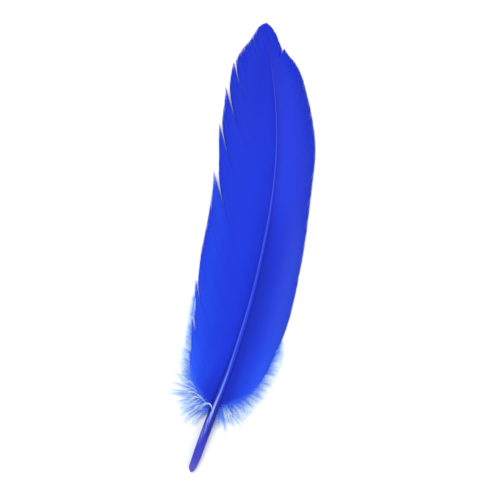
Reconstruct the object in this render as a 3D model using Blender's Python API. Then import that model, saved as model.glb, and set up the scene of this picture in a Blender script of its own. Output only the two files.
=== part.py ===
"""Goose quill feather, lying on its underside with its upper side showing.

The quill, the shaft, both vanes and the down at their base grew as one piece, so they are one closed
solid. X runs across the feather, Y from the quill's end to the vane's tip, and Z up. The feather rests
on the edges of its vanes, its down and the end of its quill.
"""

import math

import bmesh
import bpy
import numpy as np

MM = 0.001

# Driving dimensions, in millimetres. A station is a distance along Y from the quill's end.
VANE_START = 26.5
VANE_LAST_ROOT = 169.0
VANE_THICKNESS = 0.45

# The middle of the feather's box in plan, which becomes the origin.
MIDDLE_X = 7.4
MIDDLE_Y = 87.1

# The quill and the shaft: station, x, height of the centre line, radius.
SHAFT = [
    (0.0, 0.0, 0.80, 0.72),
    (1.2, 0.1, 1.20, 1.14),
    (4.0, 0.7, 1.55, 1.42),
    (12.0, 2.2, 2.30, 1.60),
    (20.0, 3.6, 3.10, 1.58),
    (27.0, 4.8, 3.85, 1.38),
    (46.0, 8.5, 5.55, 1.05),
    (66.0, 11.3, 6.80, 0.80),
    (87.0, 12.8, 7.30, 0.66),
    (105.0, 13.2, 7.10, 0.54),
    (120.0, 12.5, 6.40, 0.45),
    (132.0, 11.1, 5.50, 0.38),
    (147.5, 7.8, 3.90, 0.32),
    (157.0, 5.2, 2.80, 0.30),
    (165.0, 2.7, 1.85, 0.32),
    (174.0, 0.0, 0.66, 0.32),
]
QUILL_END_RINGS = (0.0, 0.5, 1.2, 2.4)
SHAFT_RINGS = 34
SHAFT_TOP = 0.35

# A vane. side is -1 where it lies towards -X. tips says where barbs end: root station, tip station, tip x,
# tip height. leave is a barb's angle to the shaft at its root, and arrive its angle to Y at its tip, both
# in degrees outwards: root station, angle. splits are the places where two barbs have come unzipped: root
# station, width of the gap at the edge, how far the lock below it lifts, and the length of shaft over
# which both fade. steps is the number of faces along a barb.
WIDE_VANE = {
    "side": -1,
    "tips": [
        (26.5, 47.0, -7.3, 0.80),
        (34.0, 60.0, -8.6, 0.65),
        (46.0, 80.0, -9.6, 0.58),
        (60.0, 98.0, -9.3, 0.58),
        (75.0, 115.0, -9.0, 0.58),
        (90.0, 131.0, -10.7, 0.58),
        (102.0, 142.0, -10.7, 0.62),
        (112.0, 149.0, -10.3, 0.70),
        (122.0, 156.5, -9.6, 0.80),
        (132.0, 162.3, -7.6, 0.85),
        (142.0, 166.5, -5.1, 0.80),
        (152.0, 170.0, -3.3, 0.72),
        (160.0, 172.4, -1.8, 0.66),
        (169.0, 174.2, -0.1, 0.62),
    ],
    "leave": [(26.5, 82.0), (31.0, 62.0), (40.0, 46.0), (60.0, 40.0), (120.0, 34.0), (169.0, 3.0)],
    "arrive": [(26.5, 17.0), (60.0, 18.0), (120.0, 18.0), (150.0, 15.0), (169.0, 17.0)],
    "splits": [
        (33.6, 0.7, 0.3, 6.0),
        (40.8, 1.0, 0.4, 9.0),
        (76.4, 2.1, 1.1, 17.0),
        (90.6, 1.5, 1.0, 13.0),
        (97.8, 0.8, 0.6, 7.0),
        (109.6, 1.7, 0.9, 12.0),
        (121.5, 1.4, 0.7, 11.0),
    ],
    "steps": 8,
}
NARROW_VANE = {
    "side": 1,
    "tips": [
        (26.5, 45.0, 23.0, 0.80),
        (38.0, 59.0, 26.3, 0.62),
        (58.0, 85.0, 28.3, 0.58),
        (80.0, 110.0, 28.0, 0.58),
        (100.0, 130.0, 26.6, 0.58),
        (115.0, 142.0, 23.2, 0.58),
        (128.0, 151.0, 19.5, 0.62),
        (138.0, 157.0, 16.6, 0.68),
        (146.0, 161.6, 13.0, 0.72),
        (152.0, 164.5, 9.4, 0.72),
        (158.0, 167.6, 6.3, 0.68),
        (163.0, 171.0, 3.8, 0.65),
        (169.0, 174.2, 0.1, 0.62),
    ],
    "leave": [(26.5, 70.0), (31.0, 54.0), (40.0, 38.0), (60.0, 32.0), (120.0, 27.0), (169.0, 3.0)],
    "arrive": [(26.5, 28.0), (38.0, 20.0), (58.0, 14.0), (100.0, 12.0), (138.0, 9.0), (150.0, 4.0), (169.0, -16.0)],
    "splits": [(154.8, 1.7, 0.6, 8.0)],
    "steps": 6,
}
ROOT_HANDLE = 0.36
TIP_HANDLE = 0.40
SPLIT_DEPTH = 0.42
CAMBER = 1.9

# Locks of a vane: shallow folds that run with the barbs, from the shaft to the vane's edge.
LOCKS = 30
FOLD_DEPTH = 0.12
FOLD_FADE = 30.0

# Locks of down round the foot of the vanes, from the wide vane's side round the quill to the other:
# root station, tip station, tip x.
DOWN = [
    (40.0, 67.0, -11.6),
    (35.0, 58.0, -12.4),
    (32.0, 50.5, -12.2),
    (30.0, 44.0, -12.9),
    (28.5, 38.0, -13.4),
    (27.5, 33.0, -14.4),
    (26.6, 28.5, -14.6),
    (25.8, 24.5, -12.9),
    (25.0, 21.0, -10.6),
    (24.2, 18.6, -7.6),
    (23.5, 17.4, -4.6),
    (23.0, 17.6, -1.8),
    (23.5, 15.4, 8.0),
    (24.2, 16.2, 11.0),
    (25.0, 17.8, 14.2),
    (25.8, 20.2, 17.6),
    (26.6, 24.0, 20.6),
    (27.5, 28.5, 23.0),
    (28.5, 33.5, 24.8),
    (30.0, 39.0, 26.0),
    (32.0, 44.5, 27.4),
    (35.0, 51.0, 28.6),
    (40.0, 59.0, 29.2),
]
DOWN_LEAVE = 75.0
# Neighbouring locks overlap like tiles: how far below the shaft's middle they start, as a share of its
# radius, and how high their middles lie at their tips, for one lock and for the next.
DOWN_LAYERS = ((0.28, 0.60), (0.52, 0.42))
DOWN_HALF_WIDTHS = (0.55, 0.80, 1.05, 1.25, 1.20, 0.80, 0.12)
DOWN_FLATNESS = 0.30
DOWN_SIDES = 8

ROYAL_BLUE = (0.021, 0.043, 0.700, 1.0)
ROUGHNESS = 0.55


def along(rows, station):
    """A smooth line through rows of (station, value, ...), read at one station."""
    table = np.array(rows, dtype=float)
    stations, values = table[:, 0], table[:, 1:]
    slopes = np.gradient(values, stations, axis=0)
    i = int(np.clip(np.searchsorted(stations, station) - 1, 0, len(stations) - 2))
    span = stations[i + 1] - stations[i]
    t = min(max((station - stations[i]) / span, 0.0), 1.0)
    start = (2 * t**3 - 3 * t**2 + 1) * values[i] + (t**3 - 2 * t**2 + t) * span * slopes[i]
    end = (3 * t**2 - 2 * t**3) * values[i + 1] + (t**3 - t**2) * span * slopes[i + 1]
    return start + end


def placed(x, y, z):
    """A point of the feather, in metres from the middle of its box."""
    return ((x - MIDDLE_X) * MM, (y - MIDDLE_Y) * MM, z * MM)


def shaft_point(station):
    """The middle of the shaft, as x, y, z."""
    x, z, _ = along(SHAFT, station)
    return np.array([x, station, z])


def shaft_direction(station):
    """The way the shaft runs in plan, towards the tip."""
    step = shaft_point(station + 0.5) - shaft_point(station - 0.5)
    return step[:2] / np.linalg.norm(step[:2])


def turned(direction, degrees):
    """A plan direction turned anticlockwise."""
    a = math.radians(degrees)
    x, y = direction
    return np.array([x * math.cos(a) - y * math.sin(a), x * math.sin(a) + y * math.cos(a)])


def split_push(splits, root, above_split):
    """How far splits move a barb's tip outwards and up. A barb below a split stands out and lifts, and one
    above it draws in. above_split says which of them a barb that lies on a split is."""
    out, lift = 0.0, 0.0
    for station, gap, rise, fade in splits:
        strength = max(0.0, 1.0 - abs(station - root) / fade) ** 2
        if root < station or (root == station and not above_split):
            out += 0.5 * gap * strength
            lift += rise * strength
        else:
            out -= 0.5 * gap * strength
    return out, lift


def barb_point(vane, root, u, above_split=False):
    """A point on a barb, where u runs from 0 at the shaft to 1 at the barb's tip."""
    side = vane["side"]
    start = shaft_point(root)
    top = start[2] + SHAFT_TOP * along(SHAFT, root)[2]
    tip_y, tip_x, tip_z = along(vane["tips"], root)
    out, lift = split_push(vane["splits"], root, above_split)
    end = np.array([tip_x + side * out, tip_y])
    length = np.linalg.norm(end - start[:2])
    leave = turned(shaft_direction(root), -side * along(vane["leave"], root)[0])
    arrive = turned((0.0, 1.0), -side * along(vane["arrive"], root)[0])
    near = start[:2] + ROOT_HANDLE * length * leave
    far = end - TIP_HANDLE * length * arrive
    v = 1 - u
    x, y = v**3 * start[:2] + 3 * v**2 * u * near + 3 * v * u**2 * far + u**3 * end
    outer = max(0.0, (u - SPLIT_DEPTH) / (1 - SPLIT_DEPTH))
    z = top + (tip_z - top) * u**CAMBER + lift * outer**1.5
    return x, y, z


def collection(name):
    """A new collection in the scene."""
    made = bpy.data.collections.new(name)
    bpy.context.scene.collection.children.link(made)
    return made


def tool_object(name, data, into):
    """An object that only shapes another."""
    made = bpy.data.objects.new(name, data)
    into.objects.link(made)
    made.hide_render = True
    made.display_type = "WIRE"
    return made


def tapered_curve(name, line):
    """A curve through points of (x, y, z, radius), its end caps filled."""
    curve = bpy.data.curves.new(name, "CURVE")
    curve.dimensions = "3D"
    curve.twist_mode = "Z_UP"
    curve.use_fill_caps = True
    spline = curve.splines.new("POLY")
    spline.points.add(len(line) - 1)
    for point, (x, y, z, radius) in zip(spline.points, line):
        point.co = (*placed(x, y, z), 1.0)
        point.radius = radius
    return curve


def curve_as_mesh(name, curve, into):
    """A closed mesh of a curve, its caps welded on. The curve itself is removed."""
    guide = tool_object(name, curve, into)
    bpy.context.view_layer.update()
    evaluated = guide.evaluated_get(bpy.context.evaluated_depsgraph_get())
    mesh = bpy.data.meshes.new_from_object(evaluated)
    bpy.data.objects.remove(guide)
    bm = bmesh.new()
    bm.from_mesh(mesh)
    bmesh.ops.remove_doubles(bm, verts=bm.verts, dist=1e-6)
    bmesh.ops.recalc_face_normals(bm, faces=bm.faces)
    bm.to_mesh(mesh)
    bm.free()
    return tool_object(name, mesh, into)


def shaft_rod(into):
    """The quill and the shaft, thickest in the bare quill and as fine as a thread at the tip."""
    line = []
    first, last = QUILL_END_RINGS[-1] + 1.6, SHAFT[-1][0]
    for station in list(QUILL_END_RINGS) + list(np.linspace(first, last, SHAFT_RINGS)):
        x, z, radius = along(SHAFT, station)
        line.append((x, station, z, radius))
    curve = tapered_curve("shaft", line)
    curve.bevel_depth = MM
    curve.bevel_resolution = 3
    return curve_as_mesh("shaft", curve, into)


def barb_rows():
    """Root stations of the vanes' rows: a ridge and a valley for each lock, with one row on each split."""
    rows = list(np.linspace(VANE_START, VANE_LAST_ROOT, 2 * LOCKS + 1))
    for split in WIDE_VANE["splits"] + NARROW_VANE["splits"]:
        nearest = int(np.argmin(np.abs(np.array(rows) - split[0])))
        rows[nearest] = split[0]
    return rows


def barb_columns():
    """Steps from the wide vane's edge to the narrow vane's edge, each as (vane, u)."""
    wide = [(WIDE_VANE, step / WIDE_VANE["steps"]) for step in range(WIDE_VANE["steps"], -1, -1)]
    narrow = [(NARROW_VANE, (step + 1) / NARROW_VANE["steps"]) for step in range(NARROW_VANE["steps"])]
    return wide + narrow


def open_splits(bm, place, rows, columns):
    """Cuts the sheet along each split, from part of the way out to the edge."""
    cuts = []
    for edge in bm.edges:
        (row, first), (other_row, second) = [divmod(vert[place], len(columns)) for vert in edge.verts]
        outer = max(first, second, key=lambda column: columns[column][1])
        vane = columns[outer][0]
        inner_u = min(columns[first][1], columns[second][1])
        if row == other_row and inner_u >= SPLIT_DEPTH and rows[row] in [s[0] for s in vane["splits"]]:
            cuts.append(edge)
    bmesh.ops.split_edges(bm, edges=cuts)


def vane_sheet(into):
    """Both vanes as one sheet through the shaft. A row of the grid is one barb to each side."""
    rows, columns = barb_rows(), barb_columns()
    bm = bmesh.new()
    bmesh.ops.create_grid(bm, x_segments=len(columns) - 1, y_segments=len(rows) - 1, size=1.0)
    place = bm.verts.layers.int.new("place")
    for number, vert in enumerate(sorted(bm.verts, key=lambda v: (round(v.co.y, 4), round(v.co.x, 4)))):
        vert[place] = number
    open_splits(bm, place, rows, columns)
    middle_row = {}
    for face in bm.faces:
        middle_row[face] = sum(vert[place] // len(columns) for vert in face.verts) / len(face.verts)
    for vert in bm.verts:
        row, column = divmod(vert[place], len(columns))
        vane, u = columns[column]
        above_split = min(middle_row[face] for face in vert.link_faces) > row
        x, y, z = barb_point(vane, rows[row], u, above_split)
        fold = FOLD_DEPTH * (1 if row % 2 else -1) * math.sin(math.pi / 2 * min(u * 1.4, 1.0))
        fold *= min(1.0, (VANE_LAST_ROOT - rows[row]) / FOLD_FADE)
        vert.co = placed(x, y, z + fold)
    bmesh.ops.triangulate(bm, faces=bm.faces[:])
    underside = bmesh.ops.extrude_face_region(bm, geom=bm.faces[:], use_keep_orig=True)["geom"]
    for vert in [part for part in underside if isinstance(part, bmesh.types.BMVert)]:
        vert.co.z -= VANE_THICKNESS * MM
    bmesh.ops.recalc_face_normals(bm, faces=bm.faces)
    mesh = bpy.data.meshes.new("feather")
    bm.to_mesh(mesh)
    bm.free()
    sheet = bpy.data.objects.new("feather", mesh)
    into.objects.link(sheet)
    return sheet


def down_section(into):
    """The flat oval that each lock of down is swept with, one unit to a millimetre of half width."""
    oval = bpy.data.curves.new("down_section", "CURVE")
    spline = oval.splines.new("POLY")
    spline.points.add(DOWN_SIDES - 1)
    spline.use_cyclic_u = True
    for number, point in enumerate(spline.points):
        angle = 2 * math.pi * number / DOWN_SIDES
        point.co = (math.cos(angle) * MM, math.sin(angle) * DOWN_FLATNESS * MM, 0.0, 1.0)
    return tool_object("down_section", oval, into)


def down_locks(section, into):
    """Flat locks of down: out of the shaft's side, down to the surface below and out to a point."""
    last = len(DOWN_HALF_WIDTHS) - 1
    for number, (root, tip_y, tip_x) in enumerate(DOWN):
        start = shaft_point(root)
        below, rest_z = DOWN_LAYERS[number % 2]
        start_z = start[2] - below * along(SHAFT, root)[2]
        side = -1 if tip_x < start[0] else 1
        end = np.array([tip_x, tip_y])
        reach = np.linalg.norm(end - start[:2])
        bend = start[:2] + 0.5 * reach * turned(shaft_direction(root), -side * DOWN_LEAVE)
        line = []
        for step, half_width in enumerate(DOWN_HALF_WIDTHS):
            u = step / last
            x, y = (1 - u) ** 2 * start[:2] + 2 * (1 - u) * u * bend + u**2 * end
            z = rest_z + (start_z - rest_z) * (1 - u) ** 2
            line.append((x, y, z, half_width))
        curve = tapered_curve("down_lock", line)
        curve.bevel_mode = "OBJECT"
        curve.bevel_object = section
        curve_as_mesh(f"down_lock_{number}", curve, into)


def finish(piece):
    """Gives the feather its dye."""
    dye = bpy.data.materials.new("royal_blue_barbs")
    dye.use_nodes = True
    shader = dye.node_tree.nodes["Principled BSDF"]
    shader.inputs["Base Color"].default_value = ROYAL_BLUE
    shader.inputs["Roughness"].default_value = ROUGHNESS
    shader.inputs["Metallic"].default_value = 0.0
    piece.data.materials.append(dye)
    piece.data.shade_smooth()


def build():
    """The whole feather: the down joined with the shaft, and then both with the vanes' sheet."""
    for old in list(bpy.data.objects):
        bpy.data.objects.remove(old)
    parts = collection("goose_quill_feather")
    tools = collection("shaping_tools")
    down = collection("down_locks")
    shaft = shaft_rod(tools)
    down_locks(down_section(tools), down)
    join_down = shaft.modifiers.new("down", "BOOLEAN")
    join_down.operation = "UNION"
    join_down.operand_type = "COLLECTION"
    join_down.collection = down
    feather = vane_sheet(parts)
    join_shaft = feather.modifiers.new("shaft", "BOOLEAN")
    join_shaft.operation = "UNION"
    join_shaft.object = shaft
    finish(feather)


build()
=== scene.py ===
import math

import bmesh
import bpy
import numpy as np
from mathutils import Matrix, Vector


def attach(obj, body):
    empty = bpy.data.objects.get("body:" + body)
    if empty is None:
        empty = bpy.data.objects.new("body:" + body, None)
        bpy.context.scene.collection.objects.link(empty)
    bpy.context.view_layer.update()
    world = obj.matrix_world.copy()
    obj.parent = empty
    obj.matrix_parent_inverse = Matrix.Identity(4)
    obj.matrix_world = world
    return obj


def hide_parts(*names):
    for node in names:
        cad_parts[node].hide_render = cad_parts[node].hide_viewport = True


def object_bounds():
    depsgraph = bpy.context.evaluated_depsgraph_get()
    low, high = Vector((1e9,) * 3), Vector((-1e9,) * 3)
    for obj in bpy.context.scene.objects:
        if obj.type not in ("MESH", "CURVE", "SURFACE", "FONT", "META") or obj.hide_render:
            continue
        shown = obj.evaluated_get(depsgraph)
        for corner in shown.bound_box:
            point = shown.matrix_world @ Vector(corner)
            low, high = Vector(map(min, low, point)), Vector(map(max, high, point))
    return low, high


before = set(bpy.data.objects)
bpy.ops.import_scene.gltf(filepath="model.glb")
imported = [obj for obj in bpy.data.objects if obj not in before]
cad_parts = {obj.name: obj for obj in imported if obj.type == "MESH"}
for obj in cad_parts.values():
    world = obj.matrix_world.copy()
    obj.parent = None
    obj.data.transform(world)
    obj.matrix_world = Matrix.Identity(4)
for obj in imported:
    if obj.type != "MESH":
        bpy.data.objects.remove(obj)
cad_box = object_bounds()


# ---- The view ----
# The feather lies on a white table. The camera looks straight down on it from far off, with a long lens,
# and is turned so that the feather leans to the right with its quill at the bottom.
LEAN = math.radians(9.5)
CAMERA_X = -0.001
CAMERA_HEIGHT = 1.1
SEEN_HEIGHT = 0.192
FILM = 36.0


def in_scene(name, data):
    """An object made of its data and put into the scene."""
    made = bpy.data.objects.new(name, data)
    bpy.context.scene.collection.objects.link(made)
    return made


lens = bpy.data.cameras.new("camera_above")
lens.sensor_width = FILM
lens.lens = FILM * CAMERA_HEIGHT / SEEN_HEIGHT
lens.clip_start = 0.01
lens.clip_end = 20.0
camera = in_scene("camera_above", lens)
camera.location = (CAMERA_X, 0.0, CAMERA_HEIGHT)
camera.rotation_euler = (0.0, 0.0, LEAN)
bpy.context.scene.camera = camera


# ---- The quill and the shaft ----
# One hollow tube of horn: a bare round quill at the foot, and from the vanes' foot on a shaft that turns
# squarer, has a groove along its underside and tapers to a hair. It is dyed right through, and glossy.
MM = 0.001

# From here on lengths are in millimetres, and a station is a distance along Y from the quill's end. This is
# the middle of the feather, which becomes the origin.
MIDDLE_X = 7.4
MIDDLE_Y = 87.1

# The line of the shaft: station, x, height of its middle, radius.
SHAFT = [
    (0.0, 0.1, 0.88, 0.78),
    (1.2, 0.2, 1.36, 1.28),
    (4.0, 0.8, 1.72, 1.58),
    (12.0, 2.3, 2.36, 1.76),
    (20.0, 3.8, 3.12, 1.78),
    (27.0, 5.0, 3.75, 1.58),
    (46.0, 8.7, 5.42, 1.18),
    (66.0, 11.5, 6.68, 0.92),
    (87.0, 13.0, 7.18, 0.78),
    (105.0, 13.4, 7.0, 0.64),
    (120.0, 12.7, 6.32, 0.53),
    (132.0, 11.2, 5.44, 0.44),
    (147.5, 7.9, 3.87, 0.32),
    (157.0, 5.2, 2.78, 0.2),
    (165.0, 2.7, 1.85, 0.12),
    (174.0, 0.0, 0.66, 0.06),
]

# The tube's rings: how many, points in one, the stations of the first and the last, and where the last bend
# is. The shaft's direction at a place is read half a step to both sides of it.
RINGS = 190
RING_POINTS = 32
FIRST_RING = 0.5
LAST_RING = 173.8
LAST_BEND = 173.0
HALF_STEP = 0.5

# The quill's end, from its rim into the pit: station and radius.
QUILL_END = [(0.25, 0.56), (-0.12, 0.52), (-0.2, 0.4), (0.1, 0.3), (1.4, 0.2), (1.8, 0.02)]

# What makes a shaft of the round quill: how deep the groove below is, as a share of the radius, how wide it
# is, how flat the sides are, how much the shaft swells in return, and where this starts and is complete.
GROOVE_DEPTH = 0.3
GROOVE_WIDTH = math.radians(24.0)
SQUARENESS = 0.16
SQUARE_SWELL = 0.04
TURNS_SQUARE = (22.5, 32.5)

# A pale line along the shaft, partly scuffs where the dye has worn off near the vanes' foot and partly a
# painted highlight along the shaft's crest: station, how far right of the middle it runs, and half its
# width.
# Then where its edge fades, in half widths, and where the shaft's upper side begins.
WEAR_AND_HIGHLIGHT_LINE = [
    (0.0, -1.1, 0.35),
    (8.0, -1.05, 0.45),
    (14.0, -0.8, 0.6),
    (18.0, -0.65, 0.68),
    (24.0, -0.24, 0.42),
    (35.0, 0.12, 0.25),
    (50.0, -0.26, 0.27),
    (75.0, -0.2, 0.27),
    (110.0, -0.18, 0.26),
    (150.0, -0.05, 0.2),
    (174.0, 0.0, 0.2),
]
WEAR_AND_HIGHLIGHT_EDGE = (0.5, 1.3)
UPPER_SIDE = (-0.2, 0.2)

# A painted shadow beside the lowest barb, under the torn strands: its middle, and how far from there the
# spot ends and is full.
SHADOW_BESIDE_STRANDS = (2.8, 24.6, 4.0)
SHADOW_SPOT_REACH = (1.7, 1.0)

# Streaks in the horn: how many to a metre, how many times as long as wide, and their detail. Then the depth
# and the strength of their relief.
HORN_STREAKS = (2600.0, 14.0, 4.0)
STREAK_DEPTH = 0.06
STREAK_STRENGTH = 0.25


def along(rows, station):
    """A smooth line through rows of (station, value, ...), read at one station."""
    table = np.array(rows, dtype=float)
    stations, values = table[:, 0], table[:, 1:]
    slopes = np.gradient(values, stations, axis=0)
    i = int(np.clip(np.searchsorted(stations, station) - 1, 0, len(stations) - 2))
    span = stations[i + 1] - stations[i]
    t = min(max((station - stations[i]) / span, 0.0), 1.0)
    start = (2 * t**3 - 3 * t**2 + 1) * values[i] + (t**3 - 2 * t**2 + t) * span * slopes[i]
    end = (3 * t**2 - 2 * t**3) * values[i + 1] + (t**3 - t**2) * span * slopes[i + 1]
    return start + end


def shaft_point(station):
    """The middle of the shaft, as x, y, z in millimetres from the quill's end."""
    x, z, _ = along(SHAFT, station)
    return np.array([x, station, z])


def shaft_direction(station):
    """The way the shaft runs, towards the tip."""
    step = shaft_point(station + HALF_STEP) - shaft_point(station - HALF_STEP)
    return step / np.linalg.norm(step)


def placed(point):
    """Millimetres from the quill's end, turned into metres from the middle of the feather."""
    return Vector(((point[0] - MIDDLE_X) * MM, (point[1] - MIDDLE_Y) * MM, point[2] * MM))


def smooth_step(low, high, value):
    """0 below low, 1 above high, and an even rise between them."""
    t = min(max((value - low) / (high - low), 0.0), 1.0)
    return t * t * (3 - 2 * t)


def shaft_ring(bm, station, radius, squared):
    """One ring of the tube, square to its line. squared is 0 on the round quill and 1 on the shaft. Each
    point knows how far right it is, as a share of the radius, and how much of the pale line lies there,
    which is partly worn scuffs and partly painted highlight."""
    direction = shaft_direction(min(max(station, FIRST_RING), LAST_BEND))
    right = np.cross(direction, (0.0, 0.0, 1.0))
    right /= np.linalg.norm(right)
    up = np.cross(right, direction)
    centre = shaft_point(station)
    wear_and_highlight_place, wear_and_highlight_half = along(WEAR_AND_HIGHLIGHT_LINE, station)
    ring = []
    for number in range(RING_POINTS):
        angle = 2 * math.pi * number / RING_POINTS
        off_bottom = abs((angle - 0.5 * math.pi) % (2 * math.pi) - math.pi)
        groove = GROOVE_DEPTH * math.exp(-((off_bottom / GROOVE_WIDTH) ** 2))
        flats = 0.25 * SQUARENESS * (1.0 + math.cos(4 * angle))
        reach = radius * (1.0 + squared * (SQUARE_SWELL - flats - groove))
        point = centre + right * reach * math.cos(angle) + up * reach * math.sin(angle)
        vert = bm.verts.new(placed(point))
        off_line = abs(radius * math.cos(angle) - wear_and_highlight_place) / wear_and_highlight_half
        wear_and_highlight = (1.0 - smooth_step(*WEAR_AND_HIGHLIGHT_EDGE, off_line)) * smooth_step(*UPPER_SIDE, math.sin(angle))
        vert[bm.verts.layers.float["right"]] = math.cos(angle)
        vert[bm.verts.layers.float["wear_and_highlight"]] = wear_and_highlight
        ring.append(vert)
    return ring


def quill_and_shaft_mesh():
    """The tube's rings from the pit in the quill's end, round its rim and along to the tip."""
    bm = bmesh.new()
    bm.verts.layers.float.new("right")
    bm.verts.layers.float.new("wear_and_highlight")
    rings = [shaft_ring(bm, station, radius, 0.0) for station, radius in reversed(QUILL_END)]
    for station in np.linspace(FIRST_RING, LAST_RING, RINGS):
        radius = along(SHAFT, station)[2]
        rings.append(shaft_ring(bm, station, radius, smooth_step(*TURNS_SQUARE, station)))
    for ring, following in zip(rings, rings[1:]):
        for number in range(RING_POINTS):
            after = (number + 1) % RING_POINTS
            bm.faces.new((ring[number], ring[after], following[after], following[number]))
    bm.faces.new(rings[0])
    bm.faces.new(list(reversed(rings[-1])))
    bmesh.ops.recalc_face_normals(bm, faces=bm.faces)
    mesh = bpy.data.meshes.new("quill_and_shaft")
    bm.to_mesh(mesh)
    bm.free()
    mesh.shade_smooth()
    return mesh


def add_node(tree, kind, inputs=None, **settings):
    """A node in a tree. An input that is a socket is linked, and any other value is set."""
    made = tree.nodes.new(kind)
    for name, value in settings.items():
        setattr(made, name, value)
    for name, value in (inputs or {}).items():
        if isinstance(value, bpy.types.NodeSocket):
            tree.links.new(value, made.inputs[name])
        else:
            made.inputs[name].default_value = value
    return made


def from_node(tree, kind, inputs=None, **settings):
    """What comes out first from a new node."""
    return add_node(tree, kind, inputs, **settings).outputs[0]


def maths(tree, operation, *values):
    """The result of a Math node."""
    return from_node(tree, "ShaderNodeMath", dict(enumerate(values)), operation=operation)


def times(tree, value, *factors):
    """Values multiplied together."""
    for factor in factors:
        value = maths(tree, "MULTIPLY", value, factor)
    return value


def ramp(tree, factor, stops):
    """A colour ramp through stops of (place, colour)."""
    made = add_node(tree, "ShaderNodeValToRGB", {"Fac": factor})
    made.color_ramp.interpolation = "EASE"
    while len(made.color_ramp.elements) < len(stops):
        made.color_ramp.elements.new(0.5)
    for element, (place, colour) in zip(made.color_ramp.elements, stops):
        element.position = place
        element.color = (*colour, 1.0)
    return made.outputs["Color"]


def mask(tree, factor, stops):
    """A grey ramp through stops of (place, value)."""
    return ramp(tree, factor, [(place, (value, value, value)) for place, value in stops])


def slope(tree, factor, first, last, **settings):
    """A rise or fall from one stop of (place, value) to another."""
    ends = {"From Min": first[0], "To Min": first[1], "From Max": last[0], "To Max": last[1]}
    return from_node(tree, "ShaderNodeMapRange", {"Value": factor, **ends}, **settings)


def painted(tree, share, under, over):
    """One colour over another: share is how much of it shows. A colour is a socket or three numbers."""
    under, over = (c if isinstance(c, bpy.types.NodeSocket) else (*c, 1.0) for c in (under, over))
    return add_node(tree, "ShaderNodeMix", {0: share, 6: under, 7: over}, data_type="RGBA").outputs[2]


def mark(tree, name):
    """One of the numbers that the piece's own points carry."""
    return add_node(tree, "ShaderNodeAttribute", attribute_name=name).outputs["Fac"]


def group_of(kind, name, inputs, outputs):
    """An empty node group of one kind. Its inputs and outputs are given as name: kind of socket."""
    group = bpy.data.node_groups.new(name, kind)
    for key, socket in inputs.items():
        group.interface.new_socket(key, in_out="INPUT", socket_type=socket)
    for key, socket in outputs.items():
        group.interface.new_socket(key, in_out="OUTPUT", socket_type=socket)
    return group, add_node(group, "NodeGroupInput").outputs, add_node(group, "NodeGroupOutput").inputs


def place_along_group():
    """A group that says how far along the feather a place is: 0 at the quill's end, 1 at the tip."""
    sizes = dict.fromkeys(("Quill end", "Vane tip"), "NodeSocketFloat")
    group, given, result = group_of("ShaderNodeTree", "place_along", sizes, {"Share": "NodeSocketFloat"})
    place = add_node(group, "ShaderNodeTexCoord").outputs["Object"]
    y = add_node(group, "ShaderNodeSeparateXYZ", {"Vector": place}).outputs["Y"]
    group.links.new(slope(group, y, (given["Quill end"], 0.0), (given["Vane tip"], 1.0)), result["Share"])
    return group


def dye_streaks_group():
    """A group for uneven dye: noise on the object's own coordinates, drawn out along the feather."""
    sizes = dict.fromkeys(("Per metre", "Drawn out", "Detail"), "NodeSocketFloat")
    group, given, result = group_of("ShaderNodeTree", "dye_streaks", sizes, {"Streaks": "NodeSocketFloat"})
    across = given["Per metre"]
    lengthways = maths(group, "DIVIDE", across, given["Drawn out"])
    scale = from_node(group, "ShaderNodeCombineXYZ", {"X": across, "Y": lengthways, "Z": across})
    place = add_node(group, "ShaderNodeTexCoord").outputs["Object"]
    place = from_node(group, "ShaderNodeMapping", {"Vector": place, "Scale": scale})
    noise = {"Vector": place, "Scale": 1.0, "Detail": given["Detail"]}
    group.links.new(from_node(group, "ShaderNodeTexNoise", noise), result["Streaks"])
    return group


place_along = place_along_group()
dye_streaks = dye_streaks_group()


def feather_share(tree):
    """The share of the feather's length at each place."""
    ends = {"Quill end": cad_box[0].y, "Vane tip": cad_box[1].y}
    return from_node(tree, "ShaderNodeGroup", ends, node_tree=place_along)


def streaked(tree, per_metre, drawn_out, detail):
    """Streaks of dye, so many to a metre and drawn out so many times their width."""
    sizes = {"Per metre": per_metre, "Drawn out": drawn_out, "Detail": detail}
    return from_node(tree, "ShaderNodeGroup", sizes, node_tree=dye_streaks)


def new_material(name, **constants):
    """A material with its Principled shader. The constants go straight onto the shader's sockets."""
    material = bpy.data.materials.new(name)
    material.use_nodes = True
    shader = material.node_tree.nodes["Principled BSDF"]
    for socket, value in constants.items():
        shader.inputs[socket.replace("_", " ")].default_value = value
    return material, material.node_tree, shader


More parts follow.
